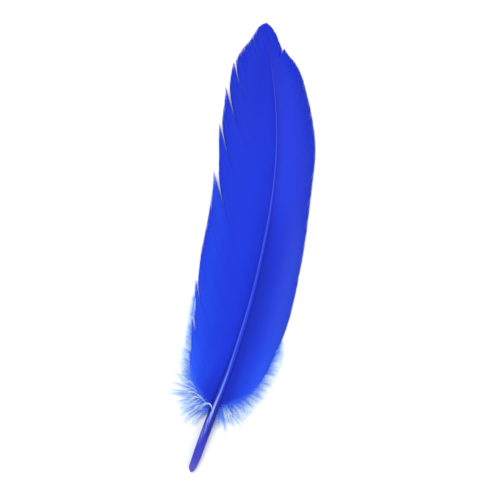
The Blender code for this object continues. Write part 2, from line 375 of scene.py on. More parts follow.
def horn_material():
    """Dyed horn: deep blue, going violet and milky towards the quill's end. Painted shade darkens its
    flanks.
    A pale line runs along it, partly worn scuffs and partly a painted highlight along its crest, and a
    painted shadow makes a dark spot beside the lowest barb, under the torn strands."""
    material, tree, shader = new_material(
        "dyed_horn", Roughness=0.36, Specular_IOR_Level=0.16, Coat_Weight=0.04, Coat_Roughness=0.16
    )
    share = feather_share(tree)
    body = [
        (0.0, (0.085, 0.08, 0.4)), (0.04, (0.036, 0.036, 0.4)), (0.08, (0.022, 0.026, 0.4)),
        (0.15, (0.01, 0.022, 0.37)), (0.2, (0.004, 0.028, 0.5)), (0.8, (0.006, 0.026, 0.48)),
        (0.93, (0.005, 0.018, 0.5)),
    ]
    right = mark(tree, "right")
    below_vanes = mask(tree, share, [(0.07, 0.0), (0.095, 1.0), (0.145, 1.0), (0.175, 0.0)])
    right_flank_shade = times(tree, mask(tree, right, [(0.1, 0.0), (0.45, 1.0)]), below_vanes)
    left = times(tree, right, -1.0)
    above_foot = mask(tree, share, [(0.08, 0.0), (0.13, 0.6), (0.185, 1.0), (0.6, 0.5)])
    left_flank_shade = times(tree, mask(tree, left, [(0.15, 0.0), (0.6, 1.0)]), above_foot)
    flank_shade = maths(tree, "MAXIMUM", left_flank_shade, right_flank_shade)
    # Painted shade: the flanks darken towards deep blue.
    colour = painted(tree, flank_shade, ramp(tree, share, body), (0.002, 0.011, 0.27))
    streaks = streaked(tree, *HORN_STREAKS)
    strength = mask(tree, share, [(0.055, 0.0), (0.1, 0.6), (0.125, 1.0)])
    ragged = mask(tree, share, [(0.112, 1.0), (0.145, 0.0)])
    torn = slope(tree, streaks, (0.4, 0.1), (0.54, 1.0))
    torn = from_node(tree, "ShaderNodeMix", {0: ragged, 2: 1.0, 3: torn})
    wear_and_highlight = times(tree, mark(tree, "wear_and_highlight"), strength, torn)
    # The pale line's colours along the feather: worn scuffs near the vanes' foot, painted highlight on the
    # crest.
    pale = [
        (0.105, (0.23, 0.285, 0.7)), (0.15, (0.28, 0.36, 0.8)), (0.2, (0.125, 0.2, 0.72)),
        (0.29, (0.034, 0.074, 0.64)), (0.43, (0.014, 0.042, 0.56)), (0.63, (0.018, 0.04, 0.54)),
        (0.9, (0.012, 0.03, 0.52)),
    ]
    colour = painted(tree, wear_and_highlight, colour, ramp(tree, share, pale))
    # A painted shadow: a dark spot beside the lowest barb, under the torn strands.
    place = add_node(tree, "ShaderNodeTexCoord").outputs["Object"]
    away = {0: place, 1: placed(SHADOW_BESIDE_STRANDS)}
    away = add_node(tree, "ShaderNodeVectorMath", away, operation="DISTANCE").outputs["Value"]
    spot_ends, spot_full = SHADOW_SPOT_REACH
    spot = slope(tree, away, (spot_ends * MM, 0.0), (spot_full * MM, 1.0))
    colour = painted(tree, spot, colour, (0.004, 0.004, 0.06))
    tree.links.new(colour, shader.inputs["Base Color"])
    bump = {"Height": streaks, "Strength": STREAK_STRENGTH, "Distance": STREAK_DEPTH * MM}
    tree.links.new(from_node(tree, "ShaderNodeBump", bump), shader.inputs["Normal"])
    return material


def piece(name, mesh):
    """A finished piece of the feather: it moves with the feather and stands for its solid."""
    made = in_scene(name, mesh)
    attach(made, "root")
    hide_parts("feather")


tube = quill_and_shaft_mesh()
tube.materials.append(horn_material())
piece("quill_and_shaft", tube)


# ---- The vanes ----
# To each side of the shaft stand some three hundred barbs, flat ribs of horn that lie over each other like
# tiles and are hooked together. Here and there two have come unhooked, and the lock below stands proud.
VANE_START = 26.5
VANE_LAST_ROOT = 169.0

# A vane. side is -1 left of the shaft and 1 right of it, then how much painted violet sheen it has, crown
# how much of the shaft's height the third point of a barb's curve keeps, and fine_gap the widest of its fine
# splits.
# Each row starts with a root station. tips: where barbs end, as station, x and height. leave and arrive: a
# barb's angles in degrees, off the shaft at its root and off the feather's length at its tip. handles: the
# two arms of its curve, as shares of its length. splits: gap, rise, how far along the shaft they are felt,
# and how far the barb below is pushed on past its own tip.
WIDE_VANE = {
    "side": -1,
    "bloom": 0.0,
    "crown": 0.63,
    "fine_gap": 0.08,
    "tips": [
        (26.5, 47.0, -8.2, 0.65), (34.0, 60.0, -9.2, 0.5), (46.0, 80.0, -10.0, 0.43),
        (60.0, 98.0, -9.6, 0.43), (75.0, 115.0, -9.3, 0.43), (90.0, 131.0, -10.7, 0.43),
        (102.0, 142.0, -10.7, 0.47), (112.0, 149.0, -10.3, 0.55), (122.0, 156.5, -9.6, 0.65),
        (132.0, 162.3, -7.6, 0.7), (142.0, 166.5, -5.1, 0.65), (152.0, 170.2, -3.5, 0.57),
        (160.0, 172.7, -2.3, 0.51), (165.0, 174.0, -0.9, 0.49), (169.0, 174.5, 0.2, 0.47),
    ],
    "leave": [(26.5, 86.0), (31.0, 64.0), (40.0, 46.0), (60.0, 40.0), (120.0, 34.0), (169.0, 3.0)],
    "arrive": [(26.5, 7.0), (36.0, 14.0), (60.0, 18.0), (120.0, 18.0), (150.0, 15.0), (169.0, 17.0)],
    "handles": [(26.5, 0.43, 0.43), (36.0, 0.36, 0.4), (60.0, 0.36, 0.4), (169.0, 0.36, 0.4)],
    "splits": [
        (33.6, 0.7, 0.3, 6.0, 0.4), (40.8, 1.0, 0.4, 9.0, 0.6), (74.5, 1.9, 1.6, 17.0, 1.2),
        (92.3, 0.9, 1.2, 14.0, 0.7), (110.0, 1.6, 1.0, 11.0, 0.8), (123.8, 0.9, 0.5, 8.0, 0.3),
    ],
}
NARROW_VANE = {
    "side": 1,
    "bloom": 1.0,
    "crown": 0.74,
    "fine_gap": 0.07,
    "tips": [
        (26.5, 45.0, 23.4, 0.65), (38.0, 59.0, 26.8, 0.47), (58.0, 85.0, 28.6, 0.43),
        (80.0, 110.0, 28.0, 0.43), (100.0, 130.0, 26.6, 0.43), (115.0, 142.0, 23.2, 0.43),
        (128.0, 151.0, 19.5, 0.47), (138.0, 157.0, 16.6, 0.53), (146.0, 161.6, 13.0, 0.57),
        (152.0, 164.5, 9.4, 0.57), (158.0, 167.9, 6.4, 0.53), (163.0, 171.4, 4.0, 0.5),
        (166.5, 173.5, 1.9, 0.48), (169.0, 174.5, 0.2, 0.47),
    ],
    "leave": [(26.5, 81.0), (31.0, 60.0), (40.0, 40.0), (60.0, 32.0), (120.0, 27.0), (169.0, 3.0)],
    "arrive": [
        (26.5, 17.0), (38.0, 18.0), (58.0, 14.0), (100.0, 12.0),
        (138.0, 9.0), (150.0, 4.0), (169.0, -16.0),
    ],
    "handles": [(26.5, 0.38, 0.42), (36.0, 0.36, 0.4), (60.0, 0.36, 0.4), (169.0, 0.36, 0.4)],
    "splits": [(154.8, 1.3, 0.6, 8.0, -0.2)],
}

# A vane's barbs: how many, how high above the shaft's middle they stand, as a share of its radius, points
# along a barb, its width in spacings, its thickness as a share of its width, how far it leans over the next
# one, and how much of its width is left at the end and from where it narrows.
BARBS = 320
BARB_ROOT = 0.05
BARB_STEPS = 15
BARB_OVERLAP = 1.55
BARB_THICKNESS = 0.3
BARB_LEAN = math.radians(9.0)
BARB_END = 0.45
BARB_NARROWS = 0.97

# How much tips and heights scatter, and how far off a place on a curve its direction is read.
TIP_SCATTER = 0.05
HEIGHT_SCATTER = 0.015
NEARBY = 0.02

# How steeply a split opens towards the vane's edge, and how near to it barbs lift and end in a point, as
# shares of the length along the shaft where it is felt.
SPLIT_SHARPNESS = 6.5
LIFT_SHARE = 0.8
POINT_SHARE = 0.4

# Fine splits: how many, between which stations, their gaps, as shares of the widest, their rises and how far
# they are felt.
FINE_SPLITS = 20
FINE_BETWEEN = (55.0, 130.0)
FINE_GAP = (0.3, 1.0)
FINE_RISE = (0.02, 0.15)
FINE_FELT = (2.0, 5.0)

# The barbs that make the edge of a vane's foot took less dye: the first ones all along, those above them
# only at their ends. How far up each kind reaches.
FIRST_BARBS = 1.6
LOW_BARBS = 20.0

# Uneven dye: its clouds, given as the streaks in the horn are, and how much the tone changes between barbs
# and between clouds. Then how strong the painted highlight and shade at the splits are and how pale the rim
# is, and how closely these two keep to the barbs' ends.
DYE_CLOUDS = (90.0, 3.0, 3.0)
BARB_TONE = 0.07
CLOUD_TONE = 0.24
SPLIT_LIGHT_TONE = 0.45
RIM_TONE = 0.75
SPLIT_LIGHT_SHARPNESS = 5.0
RIM_SHARPNESS = 9.0


def turned(direction, degrees):
    """A plan direction turned anticlockwise."""
    a = math.radians(degrees)
    x, y = direction[:2] / np.linalg.norm(direction[:2])
    return np.array([x * math.cos(a) - y * math.sin(a), x * math.sin(a) + y * math.cos(a)])


def split_push(splits, root):
    """How splits move the end of a barb: outwards, onwards past its own tip and up, and its painted light,
    highlight where above 0 and shade where below 0. The barbs below a split stand out, end in a point and
    lift, and are painted lighter. Those above it draw in and are painted darker, as shade under the lobe."""
    out, onward, lift, open_here = 0.0, 0.0, 0.0, 0.0
    for station, gap, rise, felt, point in splits:
        away = abs(station - root) / felt
        fading = max(0.0, 1.0 - away) ** 2
        at_point = max(0.0, 1.0 - away / POINT_SHARE) ** 2
        if root < station:
            out += 0.5 * gap * fading
            onward += point * at_point
            lift += rise * max(0.0, 1.0 - away / LIFT_SHARE) ** 2
            open_here += min(rise, 1.0) * fading
        else:
            out -= 0.5 * gap * fading
            open_here -= min(rise, 1.0) * at_point
    return out, onward, lift, open_here


def pushed(vane, curve, out, onward, lift):
    """The push as a vector: outwards from the shaft, onwards along the barb's own end and up."""
    ahead = curve[3, :2] - curve[2, :2]
    ahead /= np.linalg.norm(ahead)
    return np.array([vane["side"] * out + onward * ahead[0], onward * ahead[1], lift])


def barb_curve(vane, root):
    """The four points of a barb's curve, in millimetres from the quill's end."""
    side = vane["side"]
    start = shaft_point(root)
    top = start[2] + BARB_ROOT * along(SHAFT, root)[2]
    tip_y, tip_x, tip_z = along(vane["tips"], root)
    end = np.array([tip_x, tip_y])
    length = np.linalg.norm(end - start[:2])
    root_handle, tip_handle = along(vane["handles"], root) * length
    leave, arrive = (-side * along(vane[key], root)[0] for key in ("leave", "arrive"))
    lengthways = np.array([0.0, 1.0])
    near = start[:2] + root_handle * turned(shaft_direction(root), leave)
    far = end - tip_handle * turned(lengthways, arrive)
    heights = (top, top, tip_z + vane["crown"] * (top - tip_z), tip_z)
    return np.column_stack([(start[:2], near, far, end), heights])


def on_curve(points, u):
    """A point on a barb's curve."""
    v = 1 - u
    return v**3 * points[0] + 3 * v**2 * u * points[1] + 3 * v * u**2 * points[2] + u**3 * points[3]


def barb_spacing(curves, u):
    """How far each barb is from the next one, square to the barb, at one place along them."""
    before = u - NEARBY if u > 0.5 else u
    after = min(u + NEARBY, 1.0)
    places = np.array([on_curve(c, u)[:2] for c in curves])
    ahead = np.array([(on_curve(c, after) - on_curve(c, before))[:2] for c in curves])
    ahead /= np.linalg.norm(ahead, axis=1)[:, None]
    step = np.gradient(places, axis=0)
    return np.abs(ahead[:, 0] * step[:, 1] - ahead[:, 1] * step[:, 0])


def points_mesh(name, curves, pushes, **numbers):
    """A mesh of loose points, one for each barb or thread, that carry its curve, the push on its end and
    its other numbers."""
    mesh = bpy.data.meshes.new(name)
    mesh.from_pydata([placed(c[0]) for c in curves], [], [])
    vectors = {f"curve_{index}": [placed(c[index]) for c in curves] for index in range(4)}
    vectors["push"] = np.asarray(pushes) * MM
    for kind, part, layers in (("FLOAT_VECTOR", "vector", vectors), ("FLOAT", "value", numbers)):
        for key, values in layers.items():
            layer = mesh.attributes.new(key, kind, "POINT")
            layer.data.foreach_set(part, np.ravel(values))
    return mesh


def growing_tree(name, sizes, **others):
    """A Geometry Nodes tree that grows a mesh on roots. Its sizes are among its named inputs."""
    inputs = {"Roots": "NodeSocketGeometry", "Steps": "NodeSocketInt", "Material": "NodeSocketMaterial"}
    inputs.update(dict.fromkeys(sizes, "NodeSocketFloat"), **others)
    return group_of("GeometryNodeTree", name, inputs, {"Geometry": "NodeSocketGeometry"})


def carried(tree, name, data_type="FLOAT"):
    """What the points carry under a name."""
    return from_node(tree, "GeometryNodeInputNamedAttribute", {"Name": name}, data_type=data_type)


def carrying(tree, geometry, name, value):
    """Geometry whose points carry one more number."""
    stored = {"Geometry": geometry, "Name": name, "Value": value}
    return from_node(tree, "GeometryNodeStoreNamedAttribute", stored, domain="POINT")


def on_bezier(tree, sockets, factor, data_type):
    """The value at factor of the Bezier curve whose control values the sockets give."""
    a, b, out = {"VECTOR": (4, 5, 1), "FLOAT": (2, 3, 0)}[data_type]
    while len(sockets) > 1:
        mixes = []
        for near, far in zip(sockets, sockets[1:]):
            mix = add_node(tree, "ShaderNodeMix", {0: factor, a: near, b: far}, data_type=data_type)
            mixes.append(mix.outputs[out])
        sockets = mixes
    return sockets[0]


def bent_lines(tree, roots, steps):
    """A line for each point, bent along the curve that the point carries, and the share along it."""
    line = from_node(tree, "GeometryNodeCurvePrimitiveLine", {"End": (MM, 0.0, 0.0)})
    line = from_node(tree, "GeometryNodeResampleCurve", {"Curve": line, "Count": steps})
    line = carrying(tree, line, "along", from_node(tree, "GeometryNodeSplineParameter"))
    lines = from_node(tree, "GeometryNodeInstanceOnPoints", {"Points": roots, "Instance": line})
    lines = from_node(tree, "GeometryNodeRealizeInstances", {"Geometry": lines})
    u = carried(tree, "along")
    corners = [carried(tree, f"curve_{index}", "FLOAT_VECTOR") for index in range(4)]
    place = on_bezier(tree, corners, u, "VECTOR")
    push = {0: carried(tree, "push", "FLOAT_VECTOR"), "Scale": maths(tree, "POWER", u, SPLIT_SHARPNESS)}
    push = from_node(tree, "ShaderNodeVectorMath", push, operation="SCALE")
    place = from_node(tree, "ShaderNodeVectorMath", {0: place, 1: push}, operation="ADD")
    lines = from_node(tree, "GeometryNodeSetPosition", {"Geometry": lines, "Position": place})
    return from_node(tree, "GeometryNodeSetCurveNormal", {"Curve": lines}, mode="Z_UP"), u


def swept(tree, lines, profile, half_width):
    """A closed rod along each line."""
    rod = {"Curve": lines, "Profile Curve": profile, "Scale": half_width, "Fill Caps": True}
    return from_node(tree, "GeometryNodeCurveToMesh", rod)


def end_tree(tree, geometry, material, result):
    """The last steps of a tree, which leave plain meshes of one finish."""
    real = from_node(tree, "GeometryNodeRealizeInstances", {"Geometry": geometry})
    real = from_node(tree, "GeometryNodeSetMaterial", {"Geometry": real, "Material": material})
    tree.links.new(real, result["Geometry"])


def barb_tree():
    """Barbs on their roots: each a flat rib as wide as its spacing asks, that narrows at its end."""
    tree, given, result = growing_tree("barbs_on_their_roots", ("Overlap", "Thickness", "Lean"))
    lines, u = bent_lines(tree, given["Roots"], given["Steps"])
    lines = from_node(tree, "GeometryNodeSetCurveTilt", {"Curve": lines, "Tilt": given["Lean"]})
    spacing = on_bezier(tree, [carried(tree, f"spacing_{index}") for index in range(4)], u, "FLOAT")
    taper = slope(tree, u, (BARB_NARROWS, 1.0), (1.0, BARB_END), interpolation_type="SMOOTHSTEP")
    half_width = times(tree, spacing, given["Overlap"], taper, 0.5)
    profile = from_node(tree, "GeometryNodeCurvePrimitiveCircle", {"Resolution": 4, "Radius": 1.0})
    flat = from_node(tree, "ShaderNodeCombineXYZ", {"X": 1.0, "Y": given["Thickness"], "Z": 1.0})
    profile = from_node(tree, "GeometryNodeTransform", {"Geometry": profile, "Scale": flat})
    end_tree(tree, swept(tree, lines, profile, half_width), given["Material"], result)
    return tree


def grown(name, roots, tree, **values):
    """The plain mesh that a tree makes from a mesh of points."""
    holder = in_scene(name, roots)
    modifier = holder.modifiers.new(name, "NODES")
    modifier.node_group = tree
    sockets = {item.name: item.identifier for item in tree.interface.items_tree if item.in_out == "INPUT"}
    for key, value in values.items():
        modifier[sockets[key.replace("_", " ")]] = value
    graph = bpy.context.evaluated_depsgraph_get()
    mesh = bpy.data.meshes.new_from_object(
        holder.evaluated_get(graph), preserve_all_data_layers=True, depsgraph=graph
    )
    bpy.data.objects.remove(holder)
    mesh.name = name
    mesh.materials.clear()
    mesh.materials.append(values["Material"])
    return mesh


def vane_roots(name, vane, seed):
    """The roots of one vane's barbs, moved apart at its splits."""
    draw = np.random.default_rng(seed)
    fine = []
    for station in draw.uniform(*FINE_BETWEEN, FINE_SPLITS):
        gap = vane["fine_gap"] * draw.uniform(*FINE_GAP)
        fine.append((station, gap, draw.uniform(*FINE_RISE), draw.uniform(*FINE_FELT), 0.0))
    stations = np.linspace(VANE_START, VANE_LAST_ROOT, BARBS)
    curves = [barb_curve(vane, station) for station in stations]
    first, second, third, last = [MM * barb_spacing(curves, u) for u in (0.0, 1 / 3, 2 / 3, 1.0)]
    moves = [split_push(vane["splits"] + fine, station) for station in stations]
    pushes = [pushed(vane, curve, *move[:3]) for curve, move in zip(curves, moves)]
    for curve in curves:
        curve[3, :2] += draw.normal(0.0, TIP_SCATTER, 2)
        curve[2:, 2] += draw.normal(0.0, HEIGHT_SCATTER)
    from_foot = stations - VANE_START
    # The spacing along a barb is a Bezier curve through these four samples, at its ends and thirds.
    return points_mesh(
        name,
        curves,
        pushes,
        spacing_0=first,
        spacing_1=(-5 * first + 18 * second - 9 * third + 2 * last) / 6,
        spacing_2=(2 * first - 9 * second + 18 * third - 5 * last) / 6,
        spacing_3=last,
        open=[move[3] for move in moves],
        bloom=np.full(len(curves), vane["bloom"]),
        first=np.clip(1.0 - from_foot / FIRST_BARBS, 0.0, 1.0),
        low=np.clip(1.0 - from_foot / LOW_BARBS, 0.0, 1.0),
        shade=draw.uniform(0.0, 1.0, len(curves)),
    )


def vane_material():
    """Dyed barbs: satin royal blue, darker at the shaft, partly from deeper dye and partly from painted
    shade in the trough beside it, and paler at the vane's foot, where it took the dye thinnest. A painted
    violet sheen lies on the narrow vane and the upper half, painted highlight and shade mark the splits, a
    painted shadow darkens the foot beside the shaft, and the foot's edge is washed out."""
    material, tree, shader = new_material("dyed_barbs", Roughness=0.5, Specular_IOR_Level=0.17)
    share = feather_share(tree)
    u = mark(tree, "along")
    from_foot = mask(tree, share, [(0.15, 1.0), (0.35, 0.66), (0.95, 0.16)])
    # Darker towards the shaft: partly deeper dye, partly painted shade in the trough beside the shaft.
    shaft_dye_and_shade = mask(tree, u, [(0.0, 0.259), (0.3, 0.6724), (0.75, 0.961)])
    thin = times(tree, from_foot, shaft_dye_and_shade)
    even = -0.5 * (BARB_TONE + CLOUD_TONE)
    uneven = maths(tree, "MULTIPLY_ADD", mark(tree, "shade"), BARB_TONE, even)
    uneven = maths(tree, "MULTIPLY_ADD", streaked(tree, *DYE_CLOUDS), CLOUD_TONE, uneven)
    # Painted highlight on the lifted lobes at the splits and painted shade in the pockets above them.
    opened = times(tree, mark(tree, "open"), maths(tree, "POWER", u, SPLIT_LIGHT_SHARPNESS))
    tone = maths(tree, "MULTIPLY_ADD", opened, SPLIT_LIGHT_TONE, maths(tree, "ADD", thin, uneven))
    deep, middle, light = (0.0014, 0.0135, 0.43), (0.003, 0.0275, 0.6), (0.0125, 0.1, 0.85)
    colour = ramp(tree, tone, [(0.0, deep), (0.38, middle), (1.0, light)])

    # Painted sheen: violet over the narrow vane's outer part and the upper half of both vanes.
    bloom = mark(tree, "bloom")
    low_sheen = mask(tree, u, [(0.2, 0.0), (0.6, 0.6), (0.85, 0.6), (0.99, 0.2)])
    high_sheen = mask(tree, u, [(0.0, 0.36), (0.6, 0.4), (0.95, 0.15)])
    upper = mask(tree, share, [(0.5, 0.0), (0.68, 1.0)])
    sheen_mask = times(tree, bloom, painted(tree, upper, low_sheen, high_sheen))
    along_vane = mask(tree, share, [(0.22, 0.3), (0.4, 1.0), (0.85, 1.0), (0.98, 0.3)])
    sheen_mask = times(tree, sheen_mask, along_vane)
    higher_sheen = mask(tree, share, [(0.4, 0.0), (0.75, 0.13)])
    sheen_violet = (0.0255, 0.052, 0.6)
    colour = painted(tree, maths(tree, "MAXIMUM", sheen_mask, higher_sheen), colour, sheen_violet)

    # Painted shadow: the foot of both vanes, and the narrow vane low down, darken beside the shaft.
    foot_shadow = mask(tree, share, [(0.17, 0.35), (0.26, 0.0)])
    right_shadow_band = mask(tree, share, [(0.45, 0.75), (0.64, 0.05)])
    foot_shadow = maths(tree, "MAXIMUM", foot_shadow, times(tree, bloom, right_shadow_band))
    at_shaft = mask(tree, u, [(0.0, 1.0), (0.62, 0.0)])
    shadow_blue = (0.001, 0.011, 0.31)
    colour = painted(tree, times(tree, foot_shadow, at_shaft), colour, shadow_blue)

    first = times(tree, mark(tree, "first"), mask(tree, u, [(0.05, 0.0), (0.3, 1.0)]))
    rim = times(tree, mark(tree, "low"), maths(tree, "POWER", u, RIM_SHARPNESS))
    rim = times(tree, maths(tree, "MAXIMUM", rim, first), RIM_TONE)
    washed_out = (0.07, 0.17, 0.78)
    colour = painted(tree, rim, colour, washed_out)
    tree.links.new(colour, shader.inputs["Base Color"])
    return material


barbs = barb_tree()
barb_settings = dict(
    Steps=BARB_STEPS,
    Overlap=BARB_OVERLAP,
    Thickness=BARB_THICKNESS,
    Lean=BARB_LEAN,
    Material=vane_material(),
)
for vane_name, vane, seed in (("wide_vane", WIDE_VANE, 11), ("narrow_vane", NARROW_VANE, 23)):
    vane_mesh = grown(vane_name, vane_roots(vane_name + "_roots", vane, seed), barbs, **barb_settings)
    vane_mesh.shade_smooth()
    piece(vane_name, vane_mesh)


# ---- The down ----
# Round the foot of the vanes the barbs have no hooks. They are loose threads that carry fine hairs to both
# sides, took little dye and fade to white. They come out of the shaft's sides, under the vanes.

# The down's outline on both sides, round the foot from left to right: root station, and the end's station
# and x. Then each side: -1 for left or 1 for right, and the seeds of its threads and of their hairs.
WIDE_OUTLINE = [
    (40.0, 66.0, -10.6), (35.0, 58.0, -11.4), (32.0, 50.5, -12.0), (30.0, 44.0, -13.1),
    (28.5, 38.0, -13.9), (27.5, 33.0, -14.4), (26.6, 28.5, -14.0), (25.8, 24.5, -13.3),
    (25.0, 21.0, -10.8), (24.2, 18.4, -7.8), (23.6, 17.2, -5.2), (23.1, 17.0, -2.6),
]
NARROW_OUTLINE = [
    (23.0, 16.4, 6.3), (23.6, 16.8, 8.6), (24.2, 17.6, 11.2), (25.0, 18.4, 14.2),
    (25.8, 20.2, 17.6), (26.6, 24.0, 20.6), (27.5, 28.5, 23.0), (28.5, 33.5, 24.8),
    (30.0, 39.0, 26.0), (32.0, 44.5, 27.2), (35.0, 50.0, 27.6), (40.0, 56.0, 27.0),
]
DOWN_SIDES = {
    "down_wide_side": (-1, 67, 5, WIDE_OUTLINE),
    "down_narrow_side": (1, 32, 7, NARROW_OUTLINE),
}

# A side's threads: how many, points along one, its radius at the root, how much of that its end has, how
# far below the shaft's middle it stands, as a share of the shaft's radius, the angle in degrees at which it
# leaves the shaft and how that scatters, and how far it bows out, as a share of its length.
DOWN_THREADS = 150
DOWN_STEPS = 13
THREAD_RADIUS = 0.032
THREAD_END = 0.25
DOWN_BELOW = 0.35
DOWN_LEAVE = 75.0
LEAVE_SCATTER = 7.0
BOW = 0.5

# How long threads are, as shares of the way to the outline, how ends and bends scatter, how high they lie
# above the table, how high their ends lie, least, mostly and most, and how slowly they sink.
THREAD_LENGTHS = (0.8, 1.05)
END_SCATTER = 0.15
BEND_SCATTER = 0.3
LYING_HEIGHT = (0.8, 1.3)
END_HEIGHT = (0.7, 1.0, 2.4)
SLOW_SINKING = 0.45

# Threads gather in locks: how many on a side, how strongly, how long they are, least, mostly and most, how
# much they curl, usually and at most, and how threads differ within one.
LOCKS = 44
LOCK_PULL = 0.42
LOCK_LENGTHS = (0.62, 0.97, 1.04)
CURL = 0.9
MOST_CURL = 1.2
CURL_SCATTER = 0.2

# Hairs on the threads: how far apart, how long, their radius at the root, how far they stand off, how
# unevenly long they are and how far they stray, in radians.
HAIR_SPACING = 0.125
HAIR_LENGTH = 1.3
HAIR_RADIUS = 0.024
HAIR_ANGLE = math.radians(36.0)
HAIR_LENGTHS = (0.55, 1.2)
HAIR_STRAY = (0.3, 0.14, 0.5)

# Half of the threads are stout and pale with short hairs, half fine and fluffy: least and most thickness and
# length of hairs, and how much paler they are. Then how much the tone changes from thread to thread, and how
# much of the paleness shows at the roots.
STOUT = {"thick": (1.2, 2.2), "hairy": (0.45, 0.75), "pale": 0.2}
FLUFFY = {"thick": (0.5, 0.9), "hairy": (0.7, 1.2), "pale": -0.1}
THREAD_TONE = 0.25
PALE_ROOTS = 0.4

# The edge of each vane's foot runs out along its first barb and then from tip to tip of the next ones. It
# ends in down: vane, last root station, lengths and angles off the edge in degrees at the shaft and further
# up, and the seeds of its threads and of their hairs.
FRINGES = {
    "fringe_wide_side": (WIDE_VANE, 41.0, (6.0, 1.2), (72.0, 30.0), 41, 15),
    "fringe_narrow_side": (NARROW_VANE, 34.0, (7.0, 2.0), (75.0, 38.0), 42, 17),
}

# A fringe's threads: how many, how much paler and less curled than other down, how bends and ends scatter
# in degrees, and how far in from the edge and how high above it they start. Then where the two bends are and
# how much of the angle is turned at the first, as shares, how high they lie, above the edge and above half
# its height, and how high the ends lie.
FRINGE_THREADS = 230
FRINGE_PALE = 0.15
FRINGE_CURL = 0.3
FRINGE_SCATTER = (8.0, 5.0)
FRINGE_HOLD = 0.7
FRINGE_ABOVE = (0.1, 0.4)
FRINGE_BENDS = (0.2, 0.65)
FIRST_TURN = 0.6
BENDS_ABOVE = (0.25, 0.5)
FRINGE_END_HEIGHT = (0.8, 1.9)

# Beyond the first barb they start this much higher. Towards the edge's end their hairs get shorter.
TIPS_ABOVE = 0.3
SHORTER_FROM = 0.75
SHORTER_HAIRS = 0.35

# Where on the first barb the edge begins, and how far apart two roots are whose tips give its direction.
EDGE_BEGINS = 0.08
TIP_STEP = 0.5


def hairs_on(tree, spots, hair, reach, angle, seed, side):
    """Hairs on one side of the threads, each of its own length and a little astray."""
    stray_seed = side + 7
    chance = {2: HAIR_LENGTHS[0], 3: HAIR_LENGTHS[1], "Seed": maths(tree, "ADD", seed, side)}
    length = times(tree, reach, add_node(tree, "FunctionNodeRandomValue", chance).outputs[1])
    size = from_node(tree, "ShaderNodeCombineXYZ", {"X": 1.0, "Y": 1.0, "Z": length})
    chance = {0: [-most for most in HAIR_STRAY], 1: HAIR_STRAY, "Seed": maths(tree, "ADD", seed, stray_seed)}
    stray = from_node(tree, "FunctionNodeRandomValue", chance, data_type="FLOAT_VECTOR")
    turn = from_node(tree, "ShaderNodeCombineXYZ", {"X": angle, "Z": math.pi * (side + 0.5)})
    turn = from_node(tree, "ShaderNodeVectorMath", {0: turn, 1: stray}, operation="ADD")
    turn = from_node(tree, "FunctionNodeEulerToRotation", {"Euler": turn})
    aim = {0: spots.outputs["Rotation"], 1: turn}
    aim = from_node(tree, "FunctionNodeRotateRotation", aim, rotation_space="LOCAL")
    hairs = {"Points": spots.outputs["Points"], "Instance": hair, "Rotation": aim, "Scale": size}
    return from_node(tree, "GeometryNodeInstanceOnPoints", hairs)


def down_tree():
    """Threads on their roots, with fine hairs to both sides that lean towards the thread's end."""
    sizes = ("Thread radius", "Hair spacing", "Hair length", "Hair radius", "Hair angle")
    tree, given, result = growing_tree("down_on_its_roots", sizes, Seed="NodeSocketInt")
    lines, u = bent_lines(tree, given["Roots"], given["Steps"])
    thin = times(tree, slope(tree, u, (0.0, 1.0), (1.0, THREAD_END)), carried(tree, "thick"))
    profile = from_node(tree, "GeometryNodeCurvePrimitiveCircle", {"Resolution": 3, "Radius": 1.0})
    threads = swept(tree, lines, profile, times(tree, thin, given["Thread radius"]))

    spots = {"Curve": lines, "Length": given["Hair spacing"]}
    spots = add_node(tree, "GeometryNodeCurveToPoints", spots, mode="LENGTH")
    spike = {"Vertices": 3, "Side Segments": 1, "Radius Top": 0.0}
    spike.update({"Radius Bottom": given["Hair radius"], "Depth": given["Hair length"]})
    hair = carrying(tree, from_node(tree, "GeometryNodeMeshCone", spike, fill_type="NGON"), "hair", 1.0)
    rise = slope(tree, u, (0.05, 0.35), (0.35, 1.0))
    fall = slope(tree, u, (0.55, 1.0), (1.0, 0.28))
    reach = times(tree, rise, fall, carried(tree, "hairy"))
    joined = add_node(tree, "GeometryNodeJoinGeometry")
    tree.links.new(threads, joined.inputs[0])
    for side in range(2):
        hairs = hairs_on(tree, spots, hair, reach, given["Hair angle"], given["Seed"], side)
        tree.links.new(hairs, joined.inputs[0])
    end_tree(tree, joined.outputs["Geometry"], given["Material"], result)
    return tree


def down_marks(draw, count, pale):
    """The threads' other numbers, of stout and fluffy ones mixed."""
    stout = draw.uniform(0.0, 1.0, count) < 0.5
    marks = {"shade": draw.uniform(0.0, 1.0, count)}
    for key in ("thick", "hairy"):
        marks[key] = np.where(stout, draw.uniform(*STOUT[key], count), draw.uniform(*FLUFFY[key], count))
    marks["pale"] = pale + np.where(stout, STOUT["pale"], FLUFFY["pale"])
    return marks


def gathered(draw, places, last):
    """Threads gathered in locks. For each, where the middle of its lock is, how long the lock is and how
    the thread curls."""
    just_inside = 0.9999
    number = np.floor(places / last * LOCKS * just_inside).astype(int)
    lengths = draw.triangular(*LOCK_LENGTHS, LOCKS)
    curls = np.column_stack([draw.normal(0.0, CURL, (LOCKS, 2)), np.zeros(LOCKS)])
    curls = np.clip(curls, -MOST_CURL, MOST_CURL)
    curls = curls[number] + draw.normal(0.0, CURL_SCATTER, (len(places), 3)) * (1.0, 1.0, 0.0)
    return (number + 0.5) * last / LOCKS, lengths[number], curls


